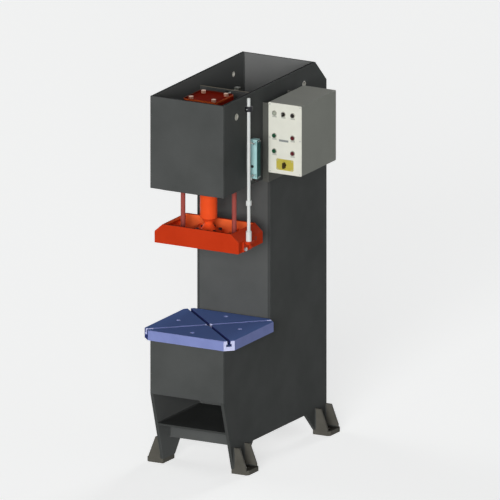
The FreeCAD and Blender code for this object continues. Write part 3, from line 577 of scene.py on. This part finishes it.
footSeams = {"leg": 5, "gap": 4, "topGap": 3, "soleT": 25, "gussetT": 12, "gussetReach": 68}
beads = []
for place in ("front_left", "front_right", "rear_left", "rear_right"):
    low, high = nodeSpan("foot_" + place)
    side = -1 if "left" in place else 1
    wall, sole = side * plateHigh[0], low[2] + footSeams["soleT"]
    between = ((low[1] + footSeams["gussetT"], 1), (high[1] - footSeams["gussetT"], -1))
    for y, out in ((low[1], -1), *between, (high[1], 1)):
        beads.append(weldLine((wall, y, sole + footSeams["gap"]), (wall, y, high[2] - footSeams["topGap"]),
                              (side, 0, 0), (0, out, 0), footSeams["leg"]))
    for y, out in between:
        beads.append(weldLine((wall + side * footSeams["gap"], y, sole),
                              (wall + side * footSeams["gussetReach"], y, sole),
                              (0, out, 0), (0, 0, 1), footSeams["leg"]))
makePiece("foot_weld_seams", *joined(beads), "weld", "frame_paint")

liftingEye = {"boreR": 14.5, "rimWidth": 3.2, "proud": 0.7, "past": 0.3, "places": ((145, 1945), (885, 1945))}
bore, rim, proud = liftingEye["boreR"], liftingEye["rimWidth"], liftingEye["proud"]
through = plateHigh[0] - plateLow[0] + liftingEye["past"]
liner = [(bore, -through), (bore, proud * 0.4), (bore + 1, proud), (bore + rim, proud),
         (bore + rim + 0.6, 0), (bore + rim, -0.4), (bore + 0.5, -2), (bore + 0.5, -through)]
liners = [turned(liner, (side * plateHigh[0], y, z), (side, 0, 0), closed=True)
          for side in (-1, 1) for y, z in liftingEye["places"]]
makePiece("lifting_eye_liners", *joined(liners), "liner", "frame_paint")
print("frame: weld seams and lifting eyes")

rearCover = {"coverT": 3, "insetX": 14, "insetZ": 16, "screw": (6.5, 4.2, 5, 2.5), "washerR": 9,
             "washerT": 1, "holeR": 3, "seat": 0.8}
coverLow, coverHigh = nodeSpan("rear_access_cover")
coverFace = plateHigh[1] + rearCover["coverT"]
washer = [(rearCover["holeR"], 0), (rearCover["washerR"], 0), (rearCover["washerR"], rearCover["washerT"]),
          (rearCover["holeR"], rearCover["washerT"])]
screws, washers = [], []
for x in (coverLow[0] + rearCover["insetX"], coverHigh[0] - rearCover["insetX"]):
    for z in (coverLow[2] + rearCover["insetZ"], (coverLow[2] + coverHigh[2]) / 2,
              coverHigh[2] - rearCover["insetZ"]):
        screws.append(socketHead(rearCover["screw"], (x, coverFace + rearCover["seat"], z), (0, 1, 0)))
        washers.append(turned(washer, (x, coverFace, z), (0, 1, 0), closed=True))
makePiece("rear_cover_screws", *joined(screws), "zinc", "zinc")
makePiece("rear_cover_washers", *joined(washers), "zinc", "zinc")
print("rear cover: screws and washers")


# cylinder head block: a lip round its top keeps leaked oil off the frame

# its orange outside stands in for the highlight on the block's top edge, and its dark inside for shade:
# painted light and shade
dripRim = {"lipT": 3, "lipH": 8, "chamfer": 1, "lap": 1, "cornerCut": 10, "topZ": 2000}
rodMiddle = nodeMiddle("piston_rod")
cut, lipH, chamfer = (dripRim[key] for key in ("cornerCut", "lipH", "chamfer"))
inner = blockHalf - dripRim["lipT"]
points = []
for half, z in ((blockHalf, 0), (blockHalf, lipH - chamfer), (blockHalf - chamfer, lipH), (inner, lipH),
                (inner, -dripRim["lap"])):
    points += [(rodMiddle[0] + x, rodMiddle[1] + y, dripRim["topZ"] + z) for x, y in (
        (half - cut, -half), (half, -half + cut), (half, half - cut), (half - cut, half),
        (-half + cut, half), (-half, half - cut), (-half, -half + cut), (-half + cut, -half))]
faces = [[a * 8 + i, a * 8 + (i + 1) % 8, b * 8 + (i + 1) % 8, b * 8 + i]
         for a, b in ((0, 1), (1, 2), (2, 3), (3, 4), (4, 0)) for i in range(8)]
makePiece("head_block_drip_rim", points, faces, "rim", "red_paint")
print("head block: drip rim")


# table

tableTrim = {"screw": (12, 16, 14, 8), "pilotR": 16, "bushH": 22, "chamfer": 1, "rimWidth": 3.5,
             "relief": 0.6}
screwLow, screwHigh = nodeSpan("table_screws")
reach = (screwHigh[0] - screwLow[0]) / 2 - tableTrim["screw"][0]
heads = [socketHead(tableTrim["screw"], (x, tableMiddle[1] + y, screwLow[2]), (0, 0, 1))
         for x, y in ((-reach, 0), (reach, 0), (0, -reach), (0, reach))]
tableScrews = makePiece("table_cap_screws", *joined(heads), "screwPlate", "zinc")
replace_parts(tableScrews, "table_screws")
# bright bush pressed into the pilot bore below the crossing slots
pilot, bushH, chamfer = tableTrim["pilotR"], tableTrim["bushH"], tableTrim["chamfer"]
rimIn = pilot - tableTrim["rimWidth"]
bush = turned([(pilot, 0), (pilot, bushH - chamfer), (pilot - chamfer, bushH), (rimIn, bushH),
               (rimIn - tableTrim["relief"], bushH - chamfer), (rimIn - tableTrim["relief"], 0)],
              (0, tableMiddle[1], nodeSpan("table")[0][2]), (0, 0, 1), closed=True)
makePiece("table_pilot_bush", *bush, "bright_steel", "zinc")
print("table: cap screws and pilot bush")


# ram, platen and stroke rod

ramFlange = {"screws": 6, "firstTurn": 30, "circleR": 61, "screw": (9, 11, 8, 5)}
flangeTop = nodeSpan("ram_flange_screws")[0][2]
heads = []
for i in range(ramFlange["screws"]):
    angle = math.radians(ramFlange["firstTurn"] + 360 / ramFlange["screws"] * i)
    place = (rodMiddle[0] + ramFlange["circleR"] * math.cos(angle),
             rodMiddle[1] + ramFlange["circleR"] * math.sin(angle), flangeTop)
    heads.append(socketHead(ramFlange["screw"], place, (0, 0, 1)))
flangeScrews = makePiece("ram_flange_cap_screws", *joined(heads), "black_steel", "black_steel", "ram")
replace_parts(flangeScrews, "ram_flange_screws")

traySeams = {"leg": 5, "wallT": 12, "ribX": 112, "ribT": 10, "endGap": 20, "ribGap": 8, "wallGap": 6}
trayFloor = nodeSpan("piston_rod")[0][2]
wallT, ribX, ribGap = traySeams["wallT"], traySeams["ribX"], traySeams["ribGap"]
wallGap, endGap = traySeams["wallGap"], traySeams["endGap"]
seams = []
for y, out in ((trayLow[1] + wallT, 1), (trayHigh[1] - wallT, -1)):
    for start, end in ((trayLow[0] + endGap, -ribX - ribGap), (-ribX + ribGap, ribX - ribGap),
                       (ribX + ribGap, trayHigh[0] - endGap)):
        seams.append(((start, y), (end, y), (0, out, 0)))
for side in (-1, 1):
    for out in (-1, 1):
        x = side * ribX + out * traySeams["ribT"] / 2
        seams.append(((x, trayLow[1] + wallT + wallGap), (x, trayHigh[1] - wallT - wallGap), (out, 0, 0)))
beads = [weldLine((*start, trayFloor), (*end, trayFloor), out, (0, 0, 1), traySeams["leg"])
         for start, end, out in seams]
makePiece("platen_weld_seams", *joined(beads), "ramWeld", "ram_red", "ram")

# tapped eye in each end of the platen, for a lifting screw
endEye = {"holeR": 7.2, "rimR": 9.5, "outerR": 10, "sunk": 0.3, "proud": 0.5, "offY": 56, "upZ": 44}
eyeLine = [(0, -endEye["sunk"]), (endEye["holeR"], -endEye["sunk"]), (endEye["holeR"], endEye["proud"]),
           (endEye["rimR"], endEye["proud"]), (endEye["outerR"], 0)]
eyes = [turned(eyeLine, (side * trayHigh[0], rodMiddle[1] + endEye["offY"], trayLow[2] + endEye["upZ"]),
               (side, 0, 0)) for side in (-1, 1)]
makePiece("platen_end_eyes", *joined(eyes), "black_steel", "black_steel", "ram")

strokeRod = {"nutAcross": 26, "nutH": 9, "nutDrop": 19, "screw": (9.8, 11, 8, 3.5), "screwOff": 26,
             "screwUp": 18, "bracketT": 8, "collarR": 20, "collarH": 26, "setScrew": (3.2, 3, 3, 2),
             "setSunk": 0.6}
stopX, stopY = nodeMiddle("stop_rod")[:2]
nut = hexagon(strokeRod["nutAcross"], strokeRod["nutH"],
              (stopX, stopY, nodeSpan("stop_rod")[0][2] - strokeRod["nutDrop"]), (0, 0, 1))
makePiece("stroke_rod_nut", *nut, "ram_red", "ram_red", "ram")
# the bracket's front screw is bright, its rear one is painted over
for name, side, finish in (("front", -1, "zinc"), ("rear", 1, "ram_red")):
    place = (trayHigh[0] + strokeRod["bracketT"], stopY + side * strokeRod["screwOff"],
             trayLow[2] + strokeRod["screwUp"])
    head = socketHead(strokeRod["screw"], place, (1, 0, 0))
    makePiece("bracket_" + name + "_screw", *head, finish, finish, "ram")
collarMiddle = nodeSpan("stroke_rod_fittings")[1][2] - strokeRod["collarH"] / 2
setScrew = socketHead(strokeRod["setScrew"], (stopX, stopY - strokeRod["collarR"] + strokeRod["setSunk"],
                      collarMiddle), (0, -1, 0))
makePiece("upper_collar_set_screw", *setScrew, "zinc", "zinc", "ram")
print("ram: cap screws, platen seams and stroke rod trim")


# limit switch

switchTrim = {"plugR": 6.5, "plugX": 12, "plugUp": 66, "bodyDepth": 34, "coverT": 3, "coverSunk": 0.3,
              "coverFront": 13, "coverRear": 1, "coverEnds": 3, "screw": (3, 2.2, 2.6, 1.4), "screwEnds": 9,
              "screwDepths": (26, 8), "glandX": 20, "glandY": 17, "glandAcross": 22, "glandH": 8}
glandNeck = [(0, -18), (6, -18), (8.5, -16), (8.5, -8), (0, -8)]
housingLow, housingHigh = nodeSpan("switch_housing")
plugR = switchTrim["plugR"]
plug = turned([(0, 0.3), (plugR, 0.3), (plugR, 1), (plugR + 1.6, 1), (plugR + 2, 0)],
              (housingLow[0] + switchTrim["plugX"], housingHigh[1] - switchTrim["bodyDepth"],
               housingLow[2] + switchTrim["plugUp"]), (0, -1, 0))
makePiece("switch_face_plug", *plug, "gasket", "black_plastic")
# the dark teal cover stands in for the shade on the housing's right side: painted shade
coverX = housingHigh[0] + switchTrim["coverT"]
cover = plank((housingHigh[0] - switchTrim["coverSunk"], housingLow[1] + switchTrim["coverFront"],
               housingLow[2] + switchTrim["coverEnds"]),
              (coverX, housingHigh[1] - switchTrim["coverRear"], housingHigh[2] - switchTrim["coverEnds"]), 1)
makePiece("switch_side_cover", *cover, "coverTeal", "black_plastic")
screws = [socketHead(switchTrim["screw"], (coverX, housingHigh[1] - depth, z), (1, 0, 0))
          for z in (housingLow[2] + switchTrim["screwEnds"], housingHigh[2] - switchTrim["screwEnds"])
          for depth in switchTrim["screwDepths"]]
makePiece("switch_cover_screws", *joined(screws), "zinc", "zinc")
glandX, glandY = housingLow[0] + switchTrim["glandX"], housingHigh[1] - switchTrim["glandY"]
gland = joined([hexagon(switchTrim["glandAcross"], switchTrim["glandH"],
                        (glandX, glandY, housingLow[2] - switchTrim["glandH"]), (0, 0, 1)),
                turned(glandNeck, (glandX, glandY, housingLow[2]), (0, 0, 1))])
makePiece("switch_cable_gland", *gland, "black_plastic", "black_plastic")
print("limit switch: plug, cover, screws and gland")


# control panel

panelTrim = {"bezelR": 14.5, "bezelProud": 4.5, "seatR": 10.9, "lipR": 11.6, "plateT": 0.9, "plateSunk": 0.1,
             "plateBevel": 0.3, "labelW": 26, "labelH": 9, "labelDrop": 23, "stripW": 56, "stripH": 11,
             "stripDrop": 28, "stripLeft": 8, "screw": (3.2, 2.4, 2.6, 1.5), "screwInset": 9}
buttonCap = [(0, 9.4), (4, 9.6), (7, 10.2), (8.8, 10.9), (9.8, 10.7), (10.4, 9.8), (10.5, 8.6),
             (10.5, -63), (9.5, -64), (0, -64)]  # dished front, and a stem as long as the node's
lampDome = [(0, 10), (3, 9.9), (6, 9.3), (8.4, 8.2), (10, 6.4), (10.5, 4.5), (10.5, 0)]
panelLow, panelHigh = nodeSpan("control_panel")
face, forward = panelLow[1], (0, -1, 0)


def blankPlate(middleX, bottom, width, height):  # thin plate stuck on the panel
    return plank((middleX - width / 2, face - panelTrim["plateT"], bottom),
                 (middleX + width / 2, face + panelTrim["plateSunk"], bottom + height),
                 panelTrim["plateBevel"])


controls = {"power_lamp": "frame", "mode_selector": "mode_knob", "jog_button": "jog",
            "upper_green_button": "green_upper", "lower_green_button": "green_lower",
            "upper_red_button": "red_upper", "lower_red_button": "red_lower"}
bezelR, proud = panelTrim["bezelR"], panelTrim["bezelProud"]
bezel = [(panelTrim["seatR"], 0), (bezelR, 0), (bezelR, proud * 0.4), (bezelR - 1.6, proud),
         (panelTrim["lipR"], proud), (panelTrim["seatR"], proud - 0.8)]
bezels, labels = [], []
for name, body in controls.items():
    x, y, z = nodeMiddle(name)
    bezels.append(turned(bezel, (x, face, z), forward, closed=True))
    labels.append(blankPlate(x, z - panelTrim["labelDrop"], panelTrim["labelW"], panelTrim["labelH"]))
    if name == "power_lamp":
        lens = turned(lampDome, (x, face, z), forward)
        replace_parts(makePiece("power_lamp_lens", *lens, "lamp", "lamp", body), name)
    elif name != "mode_selector":
        cap = turned(buttonCap, (x, face, z), forward)
        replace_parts(makePiece(name + "_cap", *cap, slotOf[name], slotOf[name], body), name)
makePiece("control_bezels", *joined(bezels), "liner", "zinc")
makePiece("control_labels", *joined(labels), "label", "panel")
strip = blankPlate((panelLow[0] + panelHigh[0]) / 2 - panelTrim["stripLeft"],
                   nodeMiddle("upper_green_button")[2] - panelTrim["stripDrop"],
                   panelTrim["stripW"], panelTrim["stripH"])
makePiece("panel_blank_strip", *strip, "strip", "panel")

knobMark = {"halfW": 0.9, "from": 1, "to": 9, "proud": 17.5, "sunk": 16.6, "bevel": 0.2}
knob = nodeMiddle("mode_selector")
pointer = plank((knob[0] - knobMark["halfW"], face - knobMark["proud"], knob[2] + knobMark["from"]),
                (knob[0] + knobMark["halfW"], face - knobMark["sunk"], knob[2] + knobMark["to"]),
                knobMark["bevel"])
makePiece("mode_selector_pointer", *pointer, "panel", "panel", "mode_knob")

inset = panelTrim["screwInset"]
screws = [socketHead(panelTrim["screw"], (x, face, z), forward)
          for x in (panelLow[0] + inset, panelHigh[0] - inset)
          for z in (panelLow[2] + inset, (panelLow[2] + panelHigh[2]) / 2, panelHigh[2] - inset)]
makePiece("panel_screws", *joined(screws), "zinc", "zinc")

mainSwitch = {"dialR": 25, "dialProud": 3, "boreR": 12, "chamfer": 1, "screw": (3, 2, 2.6, 1.2),
              "screwOffX": 43, "screwOffZ": 23}
plateFace = nodeSpan("main_switch_plate")[0][1]
switchX, _, switchZ = nodeMiddle("main_switch_plate")
dialR, proud, chamfer = mainSwitch["dialR"], mainSwitch["dialProud"], mainSwitch["chamfer"]
dial = turned([(mainSwitch["boreR"], 0), (dialR, 0), (dialR, proud - chamfer), (dialR - chamfer, proud),
               (mainSwitch["boreR"], proud)], (switchX, plateFace, switchZ), forward, steps=64, closed=True)
makePiece("main_switch_dial", *dial, "yellow_plastic", "yellow_plastic")
screws = [socketHead(mainSwitch["screw"], (switchX + sideX * mainSwitch["screwOffX"], plateFace,
                     switchZ + sideZ * mainSwitch["screwOffZ"]), forward)
          for sideX in (-1, 1) for sideZ in (-1, 1)]
makePiece("main_switch_screws", *joined(screws), "zinc", "zinc")
print("control panel: bezels, caps, labels and main switch")


# floor, light and camera

studio = {"floorSize": 160, "floor": "#dfe1e0", "backdrop": 0.62, "sky": "#f4f6f8", "skyLight": 0.10,
          "skyShown": 0.95,
          "key": {"turn": 19, "rise": 9, "strength": 2.75, "angle": 30},
          "leftFill": {"turn": -100, "rise": 4, "strength": 1.3, "angle": 40},
          "rearFill": {"turn": 180, "rise": 8, "strength": 1.5, "angle": 16}}


def towards(spec):  # from the press to a lamp or the camera, turned to the right and risen, in degrees
    turn, rise = math.radians(spec["turn"]), math.radians(spec["rise"])
    return Vector((math.sin(turn) * math.cos(rise), -math.cos(turn) * math.cos(rise), math.sin(rise)))


def seenRays(tree):  # 1 where the camera sees the backdrop, straight, through glass or mirrored in metal
    rays = addNode(tree, "LightPath")
    straight = addNode(tree, "Math", {0: (rays, "Is Camera Ray"),
                       1: (rays, "Is Transmission Ray")}, operation="MAXIMUM")
    return addNode(tree, "Math", {0: (straight, "Value"), 1: (rays, "Is Glossy Ray")}, operation="MAXIMUM")


floorMesh = bpy.data.meshes.new("studioFloor")
half = studio["floorSize"] / 2
floorMesh.from_pydata([(-half, -half, 0), (half, -half, 0), (half, half, 0), (-half, half, 0)], [],
                      [(0, 1, 2, 3)])
studioFloor = bpy.data.objects.new("studio_floor", floorMesh)
bpy.context.scene.collection.objects.link(studioFloor)
floorMaterial, tree = newMaterial("studioFloorPaper")
glow = addNode(tree, "Math", {0: (seenRays(tree), "Value"), 1: studio["backdrop"]}, operation="MULTIPLY")
paper = addNode(tree, "BsdfPrincipled", {"Base Color": linear(studio["floor"]),
                "Roughness": 0.9, "Specular IOR Level": 0.0, "Emission Color": linear("#ffffff"),
                "Emission Strength": (glow, "Value")})
addNode(tree, "OutputMaterial", {"Surface": (paper, "BSDF")})
floorMesh.materials.append(floorMaterial)

for name in ("key", "leftFill", "rearFill"):
    lamp = bpy.data.lights.new(name, "SUN")
    lamp.energy = studio[name]["strength"]
    lamp.angle = math.radians(studio[name]["angle"])
    holder = bpy.data.objects.new(name, lamp)
    holder.rotation_mode = "QUATERNION"
    holder.rotation_quaternion = towards(studio[name]).to_track_quat("Z", "Y")
    bpy.context.scene.collection.objects.link(holder)

world = bpy.data.worlds.new("studioWorld")
bpy.context.scene.world = world
world.use_nodes = True
tree = world.node_tree
tree.nodes.clear()
skyLevel = addNode(tree, "MapRange", {"Value": (seenRays(tree), "Value"),
                   "To Min": studio["skyLight"], "To Max": studio["skyShown"]})
sky = addNode(tree, "Background", {"Color": linear(studio["sky"]), "Strength": (skyLevel, "Result")})
addNode(tree, "OutputWorld", {"Surface": (sky, "Background")})

# the photograph is a parallel view, so the camera has no perspective
viewpoint = {"turn": 28.76, "rise": 15.40, "away": 12.0, "frameHeight": 2.638,
             "lookAt": (1.1, 691.7, 1056.7), "seesTo": 60}
back = towards(viewpoint)
cameraData = bpy.data.cameras.new("photoCamera")
cameraData.type = "ORTHO"
cameraData.ortho_scale = viewpoint["frameHeight"]
cameraData.clip_end = viewpoint["seesTo"]
camera = bpy.data.objects.new("photoCamera", cameraData)
bpy.context.scene.collection.objects.link(camera)
camera.location = onPress(*viewpoint["lookAt"]) + back * viewpoint["away"]
camera.rotation_mode = "QUATERNION"
camera.rotation_quaternion = (-back).to_track_quat("-Z", "Y")
bpy.context.scene.camera = camera
bpy.context.scene.view_settings.view_transform = "Standard"
print("studio and camera")
